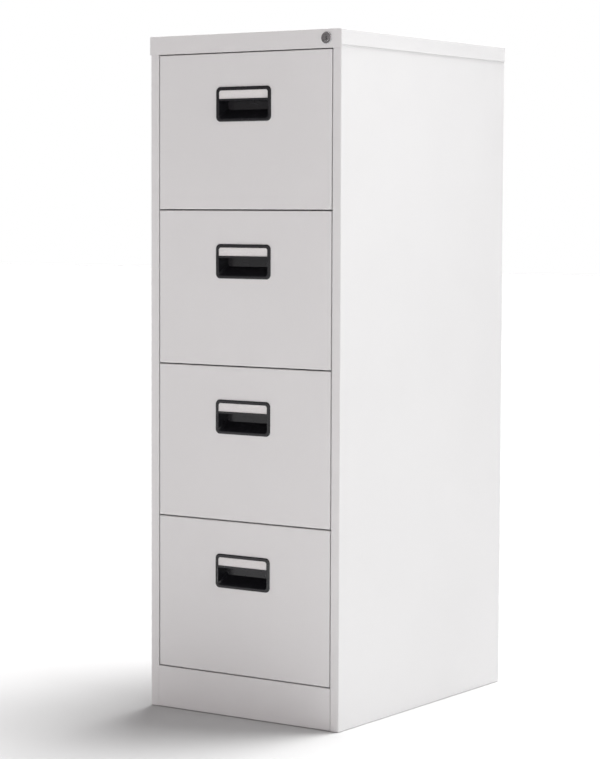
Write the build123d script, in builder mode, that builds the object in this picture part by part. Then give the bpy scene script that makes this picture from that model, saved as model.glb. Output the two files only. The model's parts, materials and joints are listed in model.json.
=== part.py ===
from build123d import *
import os

# Four-drawer metal filing cabinet with telescopic slides and a central lock.
# Millimetres. X runs across the front, -Y is the front, +Z is up.
# The origin is on the floor, under the centre of the bounding box.

os.makedirs("parts", exist_ok=True)

# --- overall size ---
cabinet_width = 452.0
cabinet_depth = 620.0
cabinet_height = 1330.0
drawer_count = 4

# --- sheet metal ---
sheet = 0.8
bend = 1.8
steel = 1.2

# --- carcass ---
side_overhang = 1.5
front_overhang = 2.0
rear_overhang = 0.8
body_half = cabinet_width / 2 - side_overhang
body_bottom = 1.0
lock_projection = 2.5
lid_front = -cabinet_depth / 2 + lock_projection
lid_back = cabinet_depth / 2
front = lid_front + front_overhang
back = lid_back - rear_overhang
lid_underside = cabinet_height - sheet
panel_top = lid_underside - 1.2
side_skirt = 30.0
skirt_step = 3.0
stile_width = 19.3
stile_depth = 20.0
rear_return = 18.0
opening_half = body_half - stile_width
return_depth = 20.5

# --- drawers ---
top_gap = 1.8
gap = 2.4
side_gap = 2.1
plinth_gap = 2.0
pitch = 302.5
fascia_bottom = 1294.2
first_front_top = fascia_bottom - top_gap
front_height = pitch - gap
front_half = opening_half - side_gap
front_thickness = 18.0
plinth_top = first_front_top - drawer_count * pitch + gap - plinth_gap
liner_depth = 10.0

# --- slides: distances across are measured inward from the slide plane ---
slide_plane = 207.0
slide_thickness = 12.7
slide_height = 120.0
slide_front = -283.0
slide_length = 550.0
slide_bend = 2.0

# --- drawer tub ---
tub_half = slide_plane - slide_thickness
tub_raise = 12.0
tub_height = 255.0
tub_back = 268.0
rim_width = 11.0
rim_drop = 8.0
back_fold = 12.0

# --- handle ---
handle_drop = 98.1
bezel_width = 129.0
bezel_height = 67.0
bezel_corner = 9.5
bezel_lift = 2.4
bezel_round = 2.0
window_width = 116.0
window_height = 16.6
window_top = 26.8
window_corner = 5.0
window_depth = 1.9
card_thickness = 0.4
card_play = 0.3
cup_height = 34.6
cup_top = 6.6
cup_corner = 6.0
mouth_round = 2.0
cup_depth = 22.0
cup_draft = 6.0
cup_floor_rise = 18.0
cutout_width = 124.0
cutout_height = 62.0
cutout_corner = 5.0
boss_width = 123.0
boss_height = 61.0
boss_depth = 24.0
pocket_width = 100.0
pocket_top = 23.0

# --- lock ---
lock_x = 192.5
lock_z = 1312.5
flange_radius = 11.5
housing_radius = 9.0
barrel_radius = 7.0
barrel_play = 0.03
housing_back = -284.0
tail_radius = 4.0
cam_front = -282.0
cam_thickness = 1.6
pin_distance = 11.0
pin_radius = 2.0
pin_reach = pin_distance * 2 ** 0.5 / 2
lock_drop = 2 * pin_reach
bar_x = 209.0
bar_thickness = 1.5
bar_front = -282.0
bar_back = -268.0
lug_inner = 199.0
lug_front = -280.0
lug_back = -270.0
lug_height = 6.0
catch_height = 10.0
catch_front = lug_back + 0.6
catch_reach = 204.0
catch_raise = 225.0
guide_height = 20.0
guide_levels = (1262.0, 740.0, 440.0)
guide_play = 0.3

# --- runner posts ---
post_width = 30.0
post_bottom = 25.0
post_top = 1290.0
post_starts = (-255.0, 225.0)

# --- glides ---
glide_radius = 14.0
glide_stem = 4.0
glide_places = ((-195.0, -262.0), (195.0, -262.0), (-195.0, 275.0), (195.0, 275.0))


def save(block, label):
    """Name a finished piece and write its STEP file."""
    block.part.label = label
    export_step(block.part, f"parts/{label}.step")


def front_bottom(number):
    """Height of the lower edge of a drawer front; drawer 1 is the top one."""
    return first_front_top - (number - 1) * pitch - front_height


def slide_member(number, points, first_y, length):
    """Rolled steel channel for the right side, from (inward, up) points of its outer line."""
    middle = front_bottom(number) + slide_height
    placed = [(slide_plane - inward, middle + up) for inward, up in points]
    with BuildPart() as member:
        with BuildSketch(Plane.XZ.offset(-first_y - length)):
            with BuildLine():
                FilletPolyline(*placed, radius=slide_bend)
                offset(amount=steel, side=Side.RIGHT)
            make_face()
        extrude(amount=length)
    return member.part


# ---------------------------------------------------------------- carcass

with BuildPart() as right_side_panel:
    with BuildSketch(Plane.XY.offset(body_bottom)):
        with BuildLine():
            FilletPolyline(
                (opening_half, front + stile_depth),
                (opening_half, front),
                (body_half, front),
                (body_half, back),
                (body_half - rear_return, back),
                radius=bend,
            )
            offset(amount=sheet, side=Side.LEFT)
        make_face()
    extrude(amount=panel_top - body_bottom)
save(right_side_panel, "right_side_panel")

with BuildPart() as left_side_panel:
    add(mirror(right_side_panel.part, about=Plane.YZ, mode=Mode.PRIVATE))
save(left_side_panel, "left_side_panel")

# The cap: its front skirt is the fascia, a little deeper than the others.
with BuildPart() as top_panel:
    with BuildSketch(Plane.XY.offset(fascia_bottom)):
        with Locations((0, (lid_front + lid_back) / 2)):
            Rectangle(cabinet_width, lid_back - lid_front)
    extrude(amount=cabinet_height - fascia_bottom)
    upright_edges = top_panel.edges().filter_by(Axis.Z)
    rim_edges = top_panel.edges().group_by(Axis.Z)[-1]
    fillet(upright_edges + rim_edges, radius=2.0)
    offset(amount=-sheet, openings=top_panel.faces().sort_by(Axis.Z)[0])
    with BuildSketch(Plane.XY.offset(fascia_bottom)):
        with Locations((0, lid_front + skirt_step)):
            Rectangle(cabinet_width + 10, cabinet_depth, align=(Align.CENTER, Align.MIN))
    extrude(amount=cabinet_height - side_skirt - fascia_bottom, mode=Mode.SUBTRACT)
    with BuildSketch(Plane.XZ.offset(-lid_front)):
        with Locations((lock_x, lock_z)):
            Circle(housing_radius)
    extrude(amount=-2, mode=Mode.SUBTRACT)
save(top_panel, "top_panel")

with BuildPart() as back_panel:
    with BuildSketch(Plane.XZ.offset(-back + sheet)):
        with Locations((0, body_bottom)):
            Rectangle(2 * (body_half - 4), panel_top - body_bottom, align=(Align.CENTER, Align.MIN))
    extrude(amount=sheet)
save(back_panel, "back_panel")

# Channel between the stiles, flush with them.
with BuildPart() as plinth:
    with BuildSketch(Plane.YZ.offset(-opening_half + 0.2)):
        with BuildLine():
            FilletPolyline(
                (front + return_depth, body_bottom),
                (front, body_bottom),
                (front, plinth_top),
                (front + return_depth, plinth_top),
                radius=bend,
            )
            offset(amount=sheet, side=Side.RIGHT)
        make_face()
    extrude(amount=2 * (opening_half - 0.2))
save(plinth, "plinth")

with BuildPart() as front_top_rail:
    with BuildSketch(Plane.YZ.offset(-opening_half + 0.2)):
        with BuildLine():
            FilletPolyline(
                (front + return_depth, fascia_bottom),
                (front, fascia_bottom),
                (front, lid_underside),
                (front + return_depth, lid_underside),
                radius=bend,
            )
            offset(amount=sheet, side=Side.RIGHT)
        make_face()
    extrude(amount=2 * (opening_half - 0.2))
    with BuildSketch(Plane.XZ.offset(-front)):
        with Locations((lock_x, lock_z)):
            Circle(housing_radius)
    extrude(amount=-2, mode=Mode.SUBTRACT)
save(front_top_rail, "front_top_rail")

# Shallow tray behind the plinth, with holes for the glide stems.
tray_front = front + return_depth + 0.2
tray_back = back - 2 * sheet
with BuildPart() as bottom_panel:
    with BuildSketch(Plane.XY.offset(body_bottom)):
        with Locations((0, (tray_front + tray_back) / 2)):
            Rectangle(2 * (body_half - sheet), tray_back - tray_front)
    extrude(amount=16)
    upright_edges = bottom_panel.edges().filter_by(Axis.Z)
    lower_edges = bottom_panel.edges().group_by(Axis.Z)[0]
    fillet(upright_edges + lower_edges, radius=bend)
    offset(amount=-sheet, openings=bottom_panel.faces().sort_by(Axis.Z)[-1])
    with BuildSketch(Plane.XY.offset(body_bottom)):
        with Locations(*glide_places):
            Circle(glide_stem)
    extrude(amount=2, mode=Mode.SUBTRACT)
save(bottom_panel, "bottom_panel")

with BuildPart() as floor_glides:
    with BuildSketch():
        with Locations(*glide_places):
            Circle(glide_radius)
    extrude(amount=body_bottom)
    fillet(floor_glides.edges().group_by(Axis.Z)[0], radius=0.5)
    with BuildSketch(Plane.XY.offset(body_bottom)):
        with Locations(*glide_places):
            Circle(glide_stem)
    extrude(amount=9)
save(floor_glides, "floor_glides")

# Two upright channels carry the slides on each side.
with BuildPart() as runner_posts_right:
    with BuildSketch(Plane.XY.offset(post_bottom)):
        for start in post_starts:
            with BuildLine():
                FilletPolyline(
                    (body_half - sheet, start),
                    (slide_plane, start),
                    (slide_plane, start + post_width),
                    (body_half - sheet, start + post_width),
                    radius=2.0,
                )
                offset(amount=steel, side=Side.RIGHT)
            make_face()
    extrude(amount=post_top - post_bottom)
save(runner_posts_right, "runner_posts_right")

with BuildPart() as runner_posts_left:
    add(mirror(runner_posts_right.part, about=Plane.YZ, mode=Mode.PRIVATE))
save(runner_posts_left, "runner_posts_left")

# The fixed members of all the slides.
with BuildPart() as slide_outers:
    for number in range(1, drawer_count + 1):
        outer_line = [(10, 22.5), (0, 22.5), (0, -22.5), (10, -22.5)]
        add(slide_member(number, outer_line, slide_front, slide_length))
    mirror(about=Plane.YZ)
save(slide_outers, "slide_outers")

# ---------------------------------------------------------------- lock

with BuildPart() as lock_housing:
    with BuildSketch(Plane.XZ.offset(-lid_front)):
        with Locations((lock_x, lock_z)):
            Circle(flange_radius)
    extrude(amount=lock_projection)
    fillet(lock_housing.edges().group_by(Axis.Y)[0], radius=1.2)
    with BuildSketch(Plane.XZ.offset(-lid_front)):
        with Locations((lock_x, lock_z)):
            Circle(housing_radius)
    extrude(amount=lid_front - housing_back)
    with BuildSketch(Plane.XZ.offset(cabinet_depth / 2)):
        with Locations((lock_x, lock_z)):
            Circle(barrel_radius + barrel_play)
    extrude(amount=-cabinet_depth / 2 - housing_back, mode=Mode.SUBTRACT)
save(lock_housing, "lock_housing")

with BuildPart() as lock_nut:
    with BuildSketch(Plane.XZ.offset(-front - sheet)):
        with Locations((lock_x, lock_z)):
            RegularPolygon(11, 6, major_radius=False, rotation=30)
            Circle(housing_radius, mode=Mode.SUBTRACT)
    extrude(amount=-4)
save(lock_nut, "lock_nut")

# Turning cylinder with an upright keyway; its tail carries the cam.
with BuildPart() as lock_barrel:
    with BuildSketch(Plane.XZ.offset(cabinet_depth / 2 - 0.3)):
        with Locations((lock_x, lock_z)):
            Circle(barrel_radius)
    extrude(amount=-cabinet_depth / 2 + 0.3 - housing_back)
    fillet(lock_barrel.edges().group_by(Axis.Y)[0], radius=0.6)
    with BuildSketch(Plane.XZ.offset(-housing_back)):
        with Locations((lock_x, lock_z)):
            Circle(tail_radius)
    extrude(amount=housing_back - cam_front - cam_thickness)
    with BuildSketch(Plane.XZ.offset(cabinet_depth / 2)):
        with Locations((lock_x, lock_z)):
            Rectangle(1.8, 7.5)
    extrude(amount=-16, mode=Mode.SUBTRACT)
    with BuildSketch(Plane.XZ.offset(-cam_front - cam_thickness)):
        with Locations((lock_x, lock_z)):
            Circle(2)
    extrude(amount=8, mode=Mode.SUBTRACT)
save(lock_barrel, "lock_barrel")

pin_x = lock_x + pin_reach
pin_z = lock_z + pin_reach
with BuildPart() as lock_cam:
    with BuildSketch(Plane.XZ.offset(-cam_front)):
        with Locations((lock_x, lock_z)):
            Circle(7)
        with Locations((pin_x, pin_z)):
            Circle(4)
        make_hull()
        with Locations((lock_x, lock_z)):
            Circle(tail_radius, mode=Mode.SUBTRACT)
    extrude(amount=-cam_thickness)
    with BuildSketch(Plane.XZ.offset(-cam_front - cam_thickness)):
        with Locations((pin_x, pin_z)):
            Circle(pin_radius)
    extrude(amount=-8)
save(lock_cam, "lock_cam")

with BuildPart() as lock_cam_screw:
    with BuildSketch(Plane.XZ.offset(-cam_front - cam_thickness)):
        with Locations((lock_x, lock_z)):
            Circle(2)
    extrude(amount=8)
    with BuildSketch(Plane.XZ.offset(-cam_front - cam_thickness)):
        with Locations((lock_x, lock_z)):
            Circle(4.8)
    extrude(amount=-2)
    fillet(lock_cam_screw.edges().group_by(Axis.Y)[-1], radius=0.8)
save(lock_cam_screw, "lock_cam_screw")

# Upright bar behind the right stile, lifted and dropped by the cam pin.
bar_top = pin_z + 6.5
bar_bottom = front_bottom(drawer_count) + catch_raise + lock_drop - 10
plate_front = -276.0
plate_end = lock_x + 2
slot_length = pin_distance - pin_reach + 2 * pin_radius + 1.2
with BuildPart() as lock_bar:
    with BuildSketch(Plane.YZ.offset(bar_x)):
        with Locations(((bar_front + bar_back) / 2, (bar_top + bar_bottom) / 2)):
            Rectangle(bar_back - bar_front, bar_top - bar_bottom)
    extrude(amount=bar_thickness)
save(lock_bar, "lock_bar")

# Slotted plate on the bar, which the cam pin pushes up and down.
with BuildPart() as lock_bar_plate:
    with BuildSketch(Plane.XZ.offset(-plate_front)):
        with Locations((plate_end, pin_z)):
            Rectangle(bar_x - plate_end, 13, align=(Align.MIN, Align.CENTER))
        with Locations(((pin_x + lock_x + pin_distance) / 2, pin_z)):
            Rectangle(slot_length, 2 * pin_radius + 1.1, mode=Mode.SUBTRACT)
    extrude(amount=-bar_thickness)
save(lock_bar_plate, "lock_bar_plate")

with BuildPart() as lock_lugs:
    for number in range(1, drawer_count + 1):
        with BuildSketch(Plane.YZ.offset(lug_inner)):
            with Locations(((lug_front + lug_back) / 2, front_bottom(number) + catch_raise + lock_drop)):
                RectangleRounded(lug_back - lug_front, lug_height, 1)
        extrude(amount=bar_x - lug_inner)
save(lock_lugs, "lock_lugs")

# Guides on the side panel hold the bar upright.
with BuildPart() as lock_bar_guides:
    for level in guide_levels:
        with BuildSketch(Plane.XY.offset(level)):
            with Locations(((slide_plane + 0.3 + body_half - sheet) / 2, (bar_front + bar_back) / 2)):
                Rectangle(body_half - sheet - slide_plane - 0.3, bar_back - bar_front + 6)
            with Locations((bar_x + bar_thickness / 2, (bar_front + bar_back) / 2)):
                Rectangle(
                    bar_thickness + 2 * guide_play,
                    bar_back - bar_front + 2 * guide_play,
                    mode=Mode.SUBTRACT,
                )
        extrude(amount=guide_height)
save(lock_bar_guides, "lock_bar_guides")

# ---------------------------------------------------------------- drawers

for number in range(1, drawer_count + 1):
    lower = front_bottom(number)
    upper = lower + front_height
    handle_z = upper - handle_drop
    tub_bottom = lower + tub_raise
    rim = tub_bottom + tub_height

    # Folded front pan, open at the back, cut out for the handle.
    with BuildPart() as drawer_front:
        with BuildSketch(Plane.XZ.offset(-front)):
            with Locations((0, (lower + upper) / 2)):
                Rectangle(2 * front_half, front_height)
        extrude(amount=-front_thickness)
        face_edges = drawer_front.edges().group_by(Axis.Y)[0]
        corner_edges = drawer_front.edges().filter_by(Axis.Y)
        fillet(face_edges + corner_edges, radius=bend)
        offset(amount=-sheet, openings=drawer_front.faces().sort_by(Axis.Y)[-1])
        with BuildSketch(Plane.XZ.offset(-front)):
            with Locations((0, handle_z)):
                RectangleRounded(cutout_width, cutout_height, cutout_corner)
        extrude(amount=-2, mode=Mode.SUBTRACT)
    save(drawer_front, f"drawer_front_{number}")

    # Inner pan closes the back of the front pan.
    liner_half = front_half - sheet
    with BuildPart() as drawer_liner:
        with BuildSketch(Plane.XZ.offset(-front - front_thickness)):
            with Locations((0, (lower + upper) / 2)):
                Rectangle(2 * liner_half, front_height - 2 * sheet)
        extrude(amount=liner_depth)
        web_edges = drawer_liner.edges().group_by(Axis.Y)[-1]
        corner_edges = drawer_liner.edges().filter_by(Axis.Y)
        fillet(web_edges + corner_edges, radius=bend)
        offset(amount=-sheet, openings=drawer_liner.faces().sort_by(Axis.Y)[0])
        with BuildSketch(Plane.XZ.offset(-front - front_thickness)):
            with Locations((0, handle_z)):
                RectangleRounded(cutout_width, cutout_height, cutout_corner)
        extrude(amount=2, mode=Mode.SUBTRACT)
    save(drawer_liner, f"drawer_liner_{number}")

    # Side sheets; their folded rims carry hanging files.
    tub_front = front + front_thickness
    with BuildPart() as drawer_sides:
        with BuildSketch(Plane.XZ.offset(-tub_back)):
            with BuildLine():
                FilletPolyline(
                    (tub_half - rim_width, rim - rim_drop),
                    (tub_half - rim_width, rim),
                    (tub_half, rim),
                    (tub_half, tub_bottom),
                    radius=bend,
                )
                offset(amount=sheet, side=Side.RIGHT)
            make_face()
        extrude(amount=tub_back - tub_front)
        mirror(about=Plane.YZ)
    save(drawer_sides, f"drawer_sides_{number}")

    with BuildPart() as drawer_bottom:
        with BuildSketch(Plane.XY.offset(tub_bottom)):
            with Locations((0, tub_front)):
                Rectangle(2 * (tub_half - sheet), tub_back - tub_front, align=(Align.CENTER, Align.MIN))
        extrude(amount=sheet)
    save(drawer_bottom, f"drawer_bottom_{number}")

    with BuildPart() as drawer_back:
        with BuildSketch(Plane.YZ.offset(-tub_half)):
            with BuildLine():
                FilletPolyline(
                    (tub_back + back_fold, tub_bottom),
                    (tub_back, tub_bottom),
                    (tub_back, rim),
                    (tub_back + back_fold, rim),
                    radius=bend,
                )
                offset(amount=sheet, side=Side.RIGHT)
            make_face()
        extrude(amount=2 * tub_half)
    save(drawer_back, f"drawer_back_{number}")

    # Bezel, tapered boss, finger cup with a pocket behind the label, label window.
    with BuildPart() as handle:
        with BuildSketch(Plane.XZ.offset(-front)):
            with Locations((0, handle_z)):
                RectangleRounded(bezel_width, bezel_height, bezel_corner)
        extrude(amount=bezel_lift)
        fillet(handle.edges().group_by(Axis.Y)[0], radius=bezel_round)
        with BuildSketch(Plane.XZ.offset(-front)):
            with Locations((0, handle_z)):
                RectangleRounded(boss_width, boss_height, cutout_corner - 0.5)
        with BuildSketch(Plane.XZ.offset(-front - boss_depth)):
            with Locations((0, handle_z + 7)):
                RectangleRounded(boss_width - 12, 41, cutout_corner - 0.5)
        loft()
        with BuildSketch(Plane.XZ.offset(-front + bezel_lift)) as mouth:
            with Locations((0, handle_z + cup_top)):
                Rectangle(window_width, cup_height, align=(Align.CENTER, Align.MAX))
            fillet(mouth.vertices().group_by(Axis.Y)[0], radius=cup_corner)
        with BuildSketch(Plane.XZ.offset(-front - cup_depth)) as cup_end:
            with Locations((0, handle_z + cup_top)):
                Rectangle(
                    window_width - 2 * cup_draft,
                    cup_height - cup_floor_rise,
                    align=(Align.CENTER, Align.MAX),
                )
            fillet(cup_end.vertices().group_by(Axis.Y)[0], radius=cup_corner)
        loft(mode=Mode.SUBTRACT)
        # Round the sides and the bottom of the mouth; its upper edge stays sharp.
        mouth_edges = handle.edges().group_by(Axis.Y)[0]
        mouth_edges = mouth_edges.filter_by_position(Axis.X, -window_width / 2 - 0.1, window_width / 2 + 0.1)
        mouth_edges = mouth_edges.filter_by_position(Axis.Z, handle_z - bezel_height / 2 + 4, handle_z)
        fillet(mouth_edges, radius=mouth_round)
        with BuildSketch(Plane.XZ.offset(-front - cup_depth)):
            with Locations((0, handle_z + pocket_top)):
                Rectangle(pocket_width, pocket_top, align=(Align.CENTER, Align.MAX))
        extrude(amount=cup_depth - 4, mode=Mode.SUBTRACT)
        with BuildSketch(Plane.XZ.offset(-front + bezel_lift)) as window:
            with Locations((0, handle_z + window_top)):
                Rectangle(window_width, window_height, align=(Align.CENTER, Align.MAX))
            fillet(window.vertices().group_by(Axis.Y)[-1], radius=window_corner)
        extrude(amount=-window_depth, mode=Mode.SUBTRACT)
    save(handle, f"handle_{number}")

    with BuildPart() as label_card:
        with BuildSketch(Plane.XZ.offset(-front + bezel_lift - window_depth)) as card_outline:
            with Locations((0, handle_z + window_top - window_height / 2)):
                Rectangle(window_width - 2 * card_play, window_height - 2 * card_play)
            fillet(card_outline.vertices().group_by(Axis.Y)[-1], radius=window_corner)
        extrude(amount=card_thickness)
    save(label_card, f"label_card_{number}")

    middle_line = [(10.5, 17), (2.6, 17), (2.6, -17), (10.5, -17)]
    with BuildPart() as slide_middle:
        add(slide_member(number, middle_line, slide_front + 2, slide_length - 4))
        mirror(about=Plane.YZ)
    save(slide_middle, f"slide_middle_{number}")

    inner_line = [(5.3, -12), (12.7, -12), (12.7, 12), (5.3, 12)]
    with BuildPart() as slide_inner:
        add(slide_member(number, inner_line, slide_front, slide_length - 6))
        mirror(about=Plane.YZ)
    save(slide_inner, f"slide_inner_{number}")

    # Angle on the right side of the tub, stopped by a lug when the bar is down.
    with BuildPart() as lock_catch:
        with BuildSketch(Plane.XY.offset(lower + catch_raise - catch_height / 2)):
            with BuildLine():
                FilletPolyline(
                    (catch_reach, catch_front),
                    (tub_half, catch_front),
                    (tub_half, catch_front + 22),
                    radius=bend,
                )
                offset(amount=steel, side=Side.RIGHT)
            make_face()
        extrude(amount=catch_height)
    save(lock_catch, f"lock_catch_{number}")
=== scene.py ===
import json
import math
import bmesh
import bpy
from mathutils import Matrix, Vector


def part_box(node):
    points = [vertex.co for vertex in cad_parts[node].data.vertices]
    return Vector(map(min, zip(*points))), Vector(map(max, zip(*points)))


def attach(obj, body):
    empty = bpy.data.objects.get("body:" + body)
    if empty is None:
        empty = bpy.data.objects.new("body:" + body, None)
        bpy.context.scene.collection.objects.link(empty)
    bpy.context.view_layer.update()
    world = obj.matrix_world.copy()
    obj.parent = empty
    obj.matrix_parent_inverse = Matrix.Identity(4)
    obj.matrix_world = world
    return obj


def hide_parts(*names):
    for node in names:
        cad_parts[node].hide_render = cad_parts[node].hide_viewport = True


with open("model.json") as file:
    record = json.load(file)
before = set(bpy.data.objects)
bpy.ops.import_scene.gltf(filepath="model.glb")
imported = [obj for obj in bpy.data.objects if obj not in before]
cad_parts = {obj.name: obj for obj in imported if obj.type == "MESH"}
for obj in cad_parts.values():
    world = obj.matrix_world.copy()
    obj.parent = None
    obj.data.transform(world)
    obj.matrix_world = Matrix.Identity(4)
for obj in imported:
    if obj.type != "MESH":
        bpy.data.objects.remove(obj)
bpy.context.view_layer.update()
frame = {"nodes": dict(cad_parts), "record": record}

nodes = frame["nodes"]
scene = bpy.context.scene

# Sizes that the boxes of the nodes do not tell, in metres. CUTOUT and OUTER_HALF are half sizes,
# LOCK_BORE is a radius.
SHEET = 0.0008
BEND = 0.0018
STEEL = 0.0012
SLIDE_BEND = 0.002
STILE_DEPTH = 0.020
REAR_RETURN = 0.018
SKIRT = 0.030
SKIRT_STEP = 0.003
LOCK_BORE = 0.009
CUTOUT = (0.062, 0.031)
CUTOUT_CORNER = 0.005
RIM_WIDTH = 0.011
RIM_DROP = 0.008
OUTER_LEG = 0.010
OUTER_HALF = 0.0225
MOVING_LEGS = {"middle": 0.0079, "inner": 0.0074}

# Segments in a fold or in a rounded corner.
STEPS = 6

bodies = frame["record"]["behaviour"]["bodies"]
body_of = {node: body for body, members in bodies.items() for node in members}
slot_of = {entry["node"]: entry["material_slot"] for entry in frame["record"]["subparts"]}
drawers = range(1, 1 + sum(body.startswith("drawer_") for body in bodies))


# ------------------------------------------------------------- node helpers

class Shader:
    """A material with a Principled surface and short calls for its nodes."""

    def __init__(self, name, **values):
        self.material = bpy.data.materials.new(name)
        self.material.use_nodes = True
        self.tree = self.material.node_tree
        self.surface = self.tree.nodes["Principled BSDF"]
        for socket, value in values.items():
            self.surface.inputs[socket.replace("_", " ")].default_value = value
        self.place = self.tree.nodes.new("ShaderNodeTexCoord").outputs["Object"]

    def add(self, kind, settings=None, **inputs):
        node = self.tree.nodes.new(kind)
        for key, value in (settings or {}).items():
            setattr(node, key, value)
        for key, value in inputs.items():
            socket = node.inputs[key.replace("_", " ")]
            if isinstance(value, bpy.types.NodeSocket):
                self.tree.links.new(value, socket)
            else:
                socket.default_value = value
        return node

    def link(self, output, socket):
        self.tree.links.new(output, self.surface.inputs[socket])

    def noise(self, scale, detail=3.0, stretch=None, roughness=0.5):
        place = self.place
        if stretch:
            mapping = self.add("ShaderNodeMapping", Vector=place, Scale=stretch)
            place = mapping.outputs["Vector"]
        return self.add("ShaderNodeTexNoise", Vector=place, Scale=scale, Detail=detail,
                        Roughness=roughness).outputs["Fac"]

    def ramp(self, factor, stops):
        node = self.add("ShaderNodeValToRGB", Fac=factor)
        while len(node.color_ramp.elements) < len(stops):
            node.color_ramp.elements.new(0.5)
        for element, (position, colour) in zip(node.color_ramp.elements, stops):
            element.position = position
            element.color = colour if len(colour) == 4 else (*colour, 1)
        return node.outputs["Color"]

    def spread(self, factor, low, high, start=0.0, end=1.0):
        node = self.add("ShaderNodeMapRange", Value=factor)
        node.inputs["From Min"].default_value = start
        node.inputs["From Max"].default_value = end
        node.inputs["To Min"].default_value = low
        node.inputs["To Max"].default_value = high
        return node.outputs["Result"]

    def bump(self, height, strength, distance):
        node = self.add("ShaderNodeBump", Height=height, Strength=strength, Distance=distance)
        self.link(node.outputs["Normal"], "Normal")


def powder_coat():
    """Light warm grey powder coat: fine orange peel, faint tone drift, semi-matt."""
    paint = Shader("powder_coat", Roughness=0.42, IOR=1.5)
    drift = paint.noise(2.2, 4)
    grain = paint.noise(900, 2)
    tone = paint.ramp(drift, [(0.3, (0.735, 0.730, 0.730)), (0.7, (0.765, 0.760, 0.760))])
    fleck = paint.ramp(grain, [(0.35, (0.97, 0.97, 0.97)), (0.65, (1.0, 1.0, 1.0))])
    mix = paint.add("ShaderNodeMix", {"data_type": "RGBA", "blend_type": "MULTIPLY"})
    mix.inputs["Factor"].default_value = 1.0
    paint.tree.links.new(tone, mix.inputs["A"])
    paint.tree.links.new(fleck, mix.inputs["B"])
    paint.link(mix.outputs["Result"], "Base Color")
    paint.link(paint.spread(drift, 0.38, 0.47), "Roughness")
    paint.bump(paint.noise(420, 2), 0.12, 0.0004)
    return paint.material


def black_gloss():
    """Glossy injection-moulded black plastic, slightly uneven in tone and gloss."""
    plastic = Shader("black_gloss", Roughness=0.2, IOR=1.46)
    cloud = plastic.noise(35, 4)
    tones = [(0.35, (0.010, 0.010, 0.012)), (0.75, (0.015, 0.015, 0.018))]
    plastic.link(plastic.ramp(cloud, tones), "Base Color")
    plastic.link(plastic.spread(cloud, 0.14, 0.30), "Roughness")
    plastic.bump(plastic.noise(260, 2), 0.05, 0.0003)
    return plastic.material


def zinc_plate():
    """Bright zinc-plated steel, rolled along the slides."""
    zinc = Shader("zinc_plate", Metallic=1.0, Roughness=0.34)
    rolled = zinc.noise(60, 3, stretch=(9, 0.5, 9))
    cloud = zinc.noise(12, 4)
    zinc.link(zinc.ramp(cloud, [(0.3, (0.52, 0.53, 0.55)), (0.7, (0.64, 0.65, 0.66))]), "Base Color")
    zinc.link(zinc.spread(rolled, 0.24, 0.45), "Roughness")
    zinc.bump(rolled, 0.06, 0.0003)
    return zinc.material


def chrome_plate():
    """Polished chrome with fine wear marks."""
    chrome = Shader("chrome_plate", Metallic=1.0, Roughness=0.1)
    marks = chrome.noise(500, 3)
    chrome.link(chrome.ramp(marks, [(0.3, (0.50, 0.50, 0.51)), (0.7, (0.62, 0.62, 0.63))]), "Base Color")
    chrome.link(chrome.spread(marks, 0.06, 0.18), "Roughness")
    return chrome.material


def card_paper():
    """Plain white card with a soft fibre texture."""
    card = Shader("card_paper", Roughness=0.8)
    fibre = card.noise(700, 4, stretch=(0.4, 1, 1))
    card.link(card.ramp(fibre, [(0.3, (0.74, 0.725, 0.72)), (0.7, (0.80, 0.785, 0.78))]), "Base Color")
    card.bump(fibre, 0.15, 0.0002)
    return card.material


def nylon():
    """Black nylon, slightly frosted."""
    plastic = Shader("nylon", Roughness=0.5)
    cloud = plastic.noise(150, 3)
    plastic.link(plastic.ramp(cloud, [(0.3, (0.02, 0.02, 0.021)), (0.7, (0.03, 0.03, 0.031))]), "Base Color")
    plastic.link(plastic.spread(cloud, 0.42, 0.6), "Roughness")
    return plastic.material


finishes = {
    "painted_body": powder_coat(),
    "black_plastic": black_gloss(),
    "label_paper": card_paper(),
    "chrome": chrome_plate(),
    "zinc_steel": zinc_plate(),
    "nylon": nylon(),
}


def paint(obj, slot):
    obj.data.materials.clear()
    obj.data.materials.append(finishes[slot])


for node, slot in slot_of.items():
    paint(nodes[node], slot)

# ------------------------------------------------------------- folded sheet metal

def stand_for(node, bm, name):
    """Turn a mesh into the piece that is shown in place of a CAD node."""
    bmesh.ops.recalc_face_normals(bm, faces=bm.faces)
    mesh = bpy.data.meshes.new(name)
    bm.to_mesh(mesh)
    bm.free()
    mesh.shade_smooth()
    mesh.set_sharp_from_angle(angle=math.radians(40))
    obj = bpy.data.objects.new(name, mesh)
    scene.collection.objects.link(obj)
    obj.modifiers.new("flat faces stay flat", "WEIGHTED_NORMAL").keep_sharp = True
    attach(obj, body_of[node])
    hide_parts(node)
    paint(obj, slot_of[node])
    return obj


def bent_lines(path, radius, thickness, side):
    """The two faces of a bent sheet; side is 1 where the sheet lies left of the path, -1 right."""
    path = [Vector(point) for point in path]
    face, back = [], []
    for index, here in enumerate(path):
        into = (here - path[index - 1]).normalized() if index else None
        out = (path[index + 1] - here).normalized() if index + 1 < len(path) else None
        if into is None or out is None:
            along = into or out
            face.append(here)
            back.append(here + side * thickness * Vector((-along.y, along.x)))
            continue
        turn = math.copysign(1, into.cross(out))
        first = turn * Vector((-into.y, into.x))
        last = turn * Vector((-out.y, out.x))
        centre = here + (first + last) * radius / (1 + into.dot(out))
        for step in range(STEPS + 1):
            radial = Matrix.Rotation(turn * into.angle(out) * step / STEPS, 2) @ -first
            face.append(centre + radius * radial)
            back.append(centre + (radius - thickness * turn * side) * radial)
    return face, back


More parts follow.
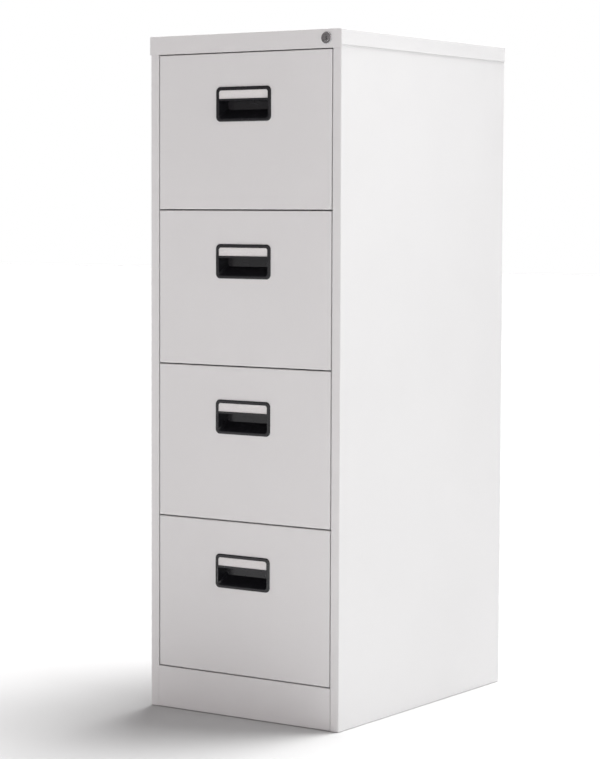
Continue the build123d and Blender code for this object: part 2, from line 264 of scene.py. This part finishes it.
def add_bent_sheet(bm, path, place, start, end, radius=BEND, thickness=SHEET, side=-1):
    """Extrude a bent sheet from start to end; place maps (point, distance along) to the scene."""
    lines = bent_lines(path, radius, thickness, side)
    (face_a, back_a), (face_b, back_b) = (
        [[bm.verts.new(place(point, along)) for point in line] for line in lines] for along in (start, end)
    )
    for i in range(len(face_a) - 1):
        bm.faces.new((face_a[i], face_a[i + 1], face_b[i + 1], face_b[i]))
        bm.faces.new((back_a[i], back_b[i], back_b[i + 1], back_a[i + 1]))
        bm.faces.new((face_a[i], back_a[i], back_a[i + 1], face_a[i + 1]))
        bm.faces.new((face_b[i], face_b[i + 1], back_b[i + 1], back_b[i]))
    for i in (0, -1):
        bm.faces.new((face_a[i], face_b[i], back_b[i], back_a[i]))


def along_x(point, along):
    return Vector((along, point.x, point.y))


def along_y(point, along):
    return Vector((point.x, along, point.y))


def along_y_mirrored(point, along):
    return Vector((-point.x, along, point.y))


def along_z(point, along):
    return Vector((point.x, point.y, along))


def along_z_mirrored(point, along):
    return Vector((-point.x, point.y, along))


def add_slides(bm, path, start, end):
    """A rolled channel on the right and its mirror image on the left."""
    for place in (along_y, along_y_mirrored):
        add_bent_sheet(bm, path, place, start, end, radius=SLIDE_BEND, thickness=STEEL)


def corner_ring(half, corner, reach, centre=(0, 0), split=None):
    """Points around a rectangle whose corners are arcs; split adds a point low on both upright sides."""
    ring = []
    for quarter, (su, sv) in enumerate(((1, 1), (-1, 1), (-1, -1), (1, -1))):
        cu = centre[0] + su * (half[0] - corner)
        cv = centre[1] + sv * (half[1] - corner)
        for step in range(STEPS + 1):
            angle = math.radians(90) * (quarter + step / STEPS)
            ring.append((cu + reach * math.cos(angle), cv + reach * math.sin(angle)))
        if split is not None and quarter in (1, 3):
            ring.append((cu + su * reach, -half[1] + split))
    return ring


def add_pan(bm, place, half, depth, hole=None, low_wall=None):
    """Folded pan with rounded folds; place maps (across, up, inward) to the scene.

    hole is a ring of points through the web. low_wall is (reach, depth) of a deeper wall at the low side.
    """
    split = low_wall[0] if low_wall else None

    def shell(reach):
        rings = [(reach, depth)]
        for step in range(STEPS + 1):
            tilt = math.radians(90) * step / STEPS
            rings.append((reach * math.cos(tilt), BEND - reach * math.sin(tilt)))
        loops = []
        for arc, inward in rings:
            flat = corner_ring(half, BEND, arc, split=split)
            loops.append([bm.verts.new(place(u, v, inward)) for u, v in flat])
        return loops

    def bridge(one, other):
        for i in range(-1, len(one) - 1):
            bm.faces.new((one[i], one[i + 1], other[i + 1], other[i]))

    outer, inner = shell(BEND), shell(BEND - SHEET)
    for loops in (outer, inner):
        for one, other in zip(loops, loops[1:]):
            bridge(one, other)
    count = STEPS + 1
    if hole:
        webs = []
        for loops, inward in ((outer, 0), (inner, SHEET)):
            web = loops[-1]
            rim = [bm.verts.new(place(u, v, inward)) for u, v in hole]
            webs.append(rim)
            for side in range(4):
                first, last = side * count + STEPS // 2, (side + 1) * count + STEPS // 2
                inside = [rim[i % len(rim)] for i in range(last, first - 1, -1)]
                bm.faces.new([web[side * count], web[(side + 1) % 4 * count], *inside])
        bridge(*webs)
    else:
        for loops in (outer, inner):
            web = loops[-1]
            keep = [0, count, count + STEPS + 1, 2 * count + 1, 3 * count + 1, 4 * count + 1] if split else \
                [0, count, 2 * count, 3 * count]
            bm.faces.new([web[i] for i in keep])
    if not low_wall:
        bridge(outer[0], inner[0])
    else:
        low = range(2 * count, 4 * count + 2)
        total = len(outer[0])
        for i in range(-1, total - 1):
            if not (i % total in low and i + 1 in low):
                bm.faces.new((outer[0][i], outer[0][i + 1], inner[0][i + 1], inner[0][i]))
        drop = place(0, 0, low_wall[1]) - place(0, 0, depth)
        foot = [[bm.verts.new(loop[0][i].co + drop) for i in low] for loop in (outer, inner)]
        for a, b in zip(range(len(low)), range(1, len(low))):
            for loops, lower in ((outer, foot[0]), (inner, foot[1])):
                bm.faces.new((loops[0][low[a]], loops[0][low[b]], lower[b], lower[a]))
            bm.faces.new((foot[0][a], foot[0][b], foot[1][b], foot[1][a]))
        for end in (0, -1):
            bm.faces.new((outer[0][low[end]], foot[0][end], foot[1][end], inner[0][low[end]]))
    bmesh.ops.remove_doubles(bm, verts=bm.verts, dist=1e-7)


for side, place in (("right", along_z), ("left", along_z_mirrored)):
    low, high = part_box("right_side_panel")
    stile = [(low[0], low[1] + STILE_DEPTH), (low[0], low[1]), (high[0], low[1])]
    rear = [(high[0], high[1]), (high[0] - REAR_RETURN, high[1])]
    mesh = bmesh.new()
    add_bent_sheet(mesh, stile + rear, place, low[2], high[2], side=1)
    stand_for(f"{side}_side_panel", mesh, f"side_sheet_{side}")


def channel(low, high):
    """U path in the Y-Z plane, open to the back."""
    return [(high[1], low[2]), (low[1], low[2]), (low[1], high[2]), (high[1], high[2])]


def folded_channel(node, name):
    low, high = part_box(node)
    mesh = bmesh.new()
    add_bent_sheet(mesh, channel(low, high), along_x, low[0], high[0])
    stand_for(node, mesh, name)


folded_channel("plinth", "plinth_sheet")

# The cap: its front skirt is the deeper fascia, bored for the lock.
low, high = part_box("top_panel")
middle = [(a + b) / 2 for a, b in zip(low, high)]
mesh = bmesh.new()
add_pan(
    mesh,
    lambda u, v, w: Vector((middle[0] + u, middle[1] + v, high[2] - w)),
    ((high[0] - low[0]) / 2, (high[1] - low[1]) / 2),
    SKIRT,
    low_wall=(SKIRT_STEP, high[2] - low[2]),
)
cap = stand_for("top_panel", mesh, "cap_sheet")
lock_low, lock_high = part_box("lock_nut")
bore = bmesh.new()
bmesh.ops.create_cone(
    bore, cap_ends=True, segments=64, radius1=LOCK_BORE, radius2=LOCK_BORE, depth=0.01
)
bmesh.ops.rotate(bore, verts=bore.verts, matrix=Matrix.Rotation(math.radians(90), 3, "X"))
place_of_bore = ((lock_low[0] + lock_high[0]) / 2, low[1], (lock_low[2] + lock_high[2]) / 2)
bmesh.ops.translate(bore, verts=bore.verts, vec=place_of_bore)
cutter_mesh = bpy.data.meshes.new("lock_bore")
bore.to_mesh(cutter_mesh)
bore.free()
cutter = bpy.data.objects.new("lock_bore", cutter_mesh)
scene.collection.objects.link(cutter)
cut = cap.modifiers.new("lock bore", "BOOLEAN")
cut.operation = "DIFFERENCE"
cut.object = cutter
cap.modifiers.move(1, 0)
bored = bpy.data.meshes.new_from_object(cap.evaluated_get(bpy.context.evaluated_depsgraph_get()))
cap.modifiers.clear()
cap.data = bored
bpy.data.objects.remove(cutter)

# Drawers: front pan, liner, side sheets, back, and the two moving members of each slide.
for number in drawers:
    handle_low, handle_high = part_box(f"handle_{number}")
    handle_middle = (handle_low[2] + handle_high[2]) / 2
    for kind, front_side in (("front", True), ("liner", False)):
        low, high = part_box(f"drawer_{kind}_{number}")
        middle = (low[2] + high[2]) / 2
        web, inward = (low[1], 1) if front_side else (high[1], -1)
        mesh = bmesh.new()
        add_pan(
            mesh,
            lambda u, v, w: Vector((u, web + inward * w, middle + v)),
            (high[0], high[2] - middle),
            high[1] - low[1],
            hole=corner_ring(CUTOUT, CUTOUT_CORNER, CUTOUT_CORNER, centre=(0, handle_middle - middle)),
        )
        stand_for(f"drawer_{kind}_{number}", mesh, f"drawer_{kind}_sheet_{number}")

    low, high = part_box(f"drawer_sides_{number}")
    rim = high[0] - RIM_WIDTH
    path = [(rim, high[2] - RIM_DROP), (rim, high[2]), (high[0], high[2]), (high[0], low[2])]
    mesh = bmesh.new()
    for place in (along_y, along_y_mirrored):
        add_bent_sheet(mesh, path, place, low[1], high[1])
    stand_for(f"drawer_sides_{number}", mesh, f"drawer_sides_sheet_{number}")
    folded_channel(f"drawer_back_{number}", f"drawer_back_sheet_{number}")

    for member, leg in MOVING_LEGS.items():
        low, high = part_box(f"slide_{member}_{number}")
        open_side, web = (high[0], high[0] - leg) if member == "inner" else (high[0] - leg, high[0])
        path = [(open_side, high[2]), (web, high[2]), (web, low[2]), (open_side, low[2])]
        if member == "inner":
            path.reverse()
        mesh = bmesh.new()
        add_slides(mesh, path, low[1], high[1])
        stand_for(f"slide_{member}_{number}", mesh, f"slide_{member}_channel_{number}")

# The fixed slide members, centred on the height of the moving ones.
low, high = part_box("slide_outers")
mesh = bmesh.new()
for number in drawers:
    inner_low, inner_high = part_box(f"slide_inner_{number}")
    middle = (inner_low[2] + inner_high[2]) / 2
    top, bottom = middle + OUTER_HALF, middle - OUTER_HALF
    legs, web = high[0] - OUTER_LEG, high[0]
    add_slides(mesh, [(legs, top), (web, top), (web, bottom), (legs, bottom)], low[1], high[1])
stand_for("slide_outers", mesh, "slide_outer_channels")

# ------------------------------------------------------------- stage, light, camera

def quad(name, corners):
    mesh = bpy.data.meshes.new(name)
    mesh.from_pydata(corners, [], [(0, 1, 2, 3)])
    obj = bpy.data.objects.new(name, mesh)
    scene.collection.objects.link(obj)
    return obj


reach = 30.0
floor = quad("floor", [(-reach, -reach, 0), (reach, -reach, 0), (reach, reach, 0), (-reach, reach, 0)])
ground = Shader("floor_white", Roughness=0.9)
pale = [(0.0, (0.56, 0.56, 0.56)), (1.0, (0.57, 0.57, 0.57))]
ground.link(ground.ramp(ground.noise(0.8, 2), pale), "Base Color")
floor.data.materials.append(ground.material)

# The sky is slightly warm at the front left and neutral at the right rear; the camera sees plain white.
world = bpy.data.worlds.new("studio")
world.use_nodes = True
sky = world.node_tree
direction = sky.nodes.new("ShaderNodeTexCoord").outputs["Generated"]
across = sky.nodes.new("ShaderNodeVectorMath")
across.operation = "DOT_PRODUCT"
across.inputs[1].default_value = Vector((0.85, 0.35, 0.40)).normalized()
level = sky.nodes.new("ShaderNodeMapRange")
level.inputs["From Min"].default_value = -1
tint = sky.nodes.new("ShaderNodeValToRGB")
tint.color_ramp.elements[0].color = (0.25, 0.23, 0.23, 1)
tint.color_ramp.elements[1].color = (0.27, 0.27, 0.275, 1)
camera_ray = sky.nodes.new("ShaderNodeLightPath").outputs["Is Camera Ray"]
backdrop = sky.nodes.new("ShaderNodeBackground")
choice = sky.nodes.new("ShaderNodeMixShader")
light = sky.nodes["Background"]
sky.links.new(direction, across.inputs[0])
sky.links.new(across.outputs["Value"], level.inputs["Value"])
sky.links.new(level.outputs["Result"], tint.inputs["Fac"])
sky.links.new(tint.outputs["Color"], light.inputs["Color"])
sky.links.new(camera_ray, choice.inputs["Fac"])
sky.links.new(light.outputs["Background"], choice.inputs[1])
sky.links.new(backdrop.outputs["Background"], choice.inputs[2])
sky.links.new(choice.outputs["Shader"], sky.nodes["World Output"].inputs["Surface"])
backdrop.inputs["Color"].default_value = (1, 1, 1, 1)
scene.world = world


def towards(azimuth, elevation):
    """Unit vector to a light; azimuth 0 is in front, 90 on the right, 180 behind."""
    a, e = math.radians(azimuth), math.radians(elevation)
    return Vector((math.sin(a) * math.cos(e), -math.cos(a) * math.cos(e), math.sin(e)))


def lamp(name, kind, strength, direction, place=(0, 0, 0), colour=(1, 1, 1)):
    """A lamp that shines against a direction and is itself out of the camera's sight."""
    data = bpy.data.lights.new(name, kind)
    data.energy = strength
    data.color = colour
    obj = bpy.data.objects.new(name, data)
    obj.location = place
    obj.rotation_mode = "QUATERNION"
    obj.rotation_quaternion = direction.to_track_quat("Z", "Y")
    obj.visible_camera = False
    scene.collection.objects.link(obj)
    return data


lamp("overhead", "SUN", 5.3, towards(163, 67)).angle = math.radians(36)
lamp("front_fill", "SUN", 0.46, towards(0, 6), colour=(1, 0.86, 0.87)).angle = math.radians(40)
panel_place = Vector((1.9, -0.45, 1.9))
panel = lamp("side_panel_light", "AREA", 14, panel_place - Vector((0.22, -0.05, 0.75)), panel_place)
panel.size = 1.2
low_place = Vector((-0.3, -1.6, 0.12))
low_light = lamp("low_front_light", "AREA", 1.7, low_place - Vector((0, -0.3, 0.15)), low_place)
low_light.size = 0.2

camera_place = Vector((2.6845, -4.0443, 0.9873))
camera_yaw, camera_pitch, camera_roll = 34.306, 4.013, 0.222
camera_data = bpy.data.cameras.new("camera")
camera_data.lens = 113.116
camera_data.sensor_width = 36
camera = bpy.data.objects.new("camera", camera_data)
scene.collection.objects.link(camera)
yaw, pitch, roll = (math.radians(v) for v in (camera_yaw, camera_pitch, camera_roll))
forward = Vector((-math.sin(yaw) * math.cos(pitch), math.cos(yaw) * math.cos(pitch), -math.sin(pitch)))
side = Vector((math.cos(yaw), math.sin(yaw), 0))
up = side.cross(forward)
side_rolled = math.cos(roll) * side + math.sin(roll) * up
up_rolled = -math.sin(roll) * side + math.cos(roll) * up
rotation = Matrix((side_rolled, up_rolled, -forward)).transposed()
camera.matrix_world = Matrix.Translation(camera_place) @ rotation.to_4x4()
scene.camera = camera
scene.view_settings.view_transform = "Standard"
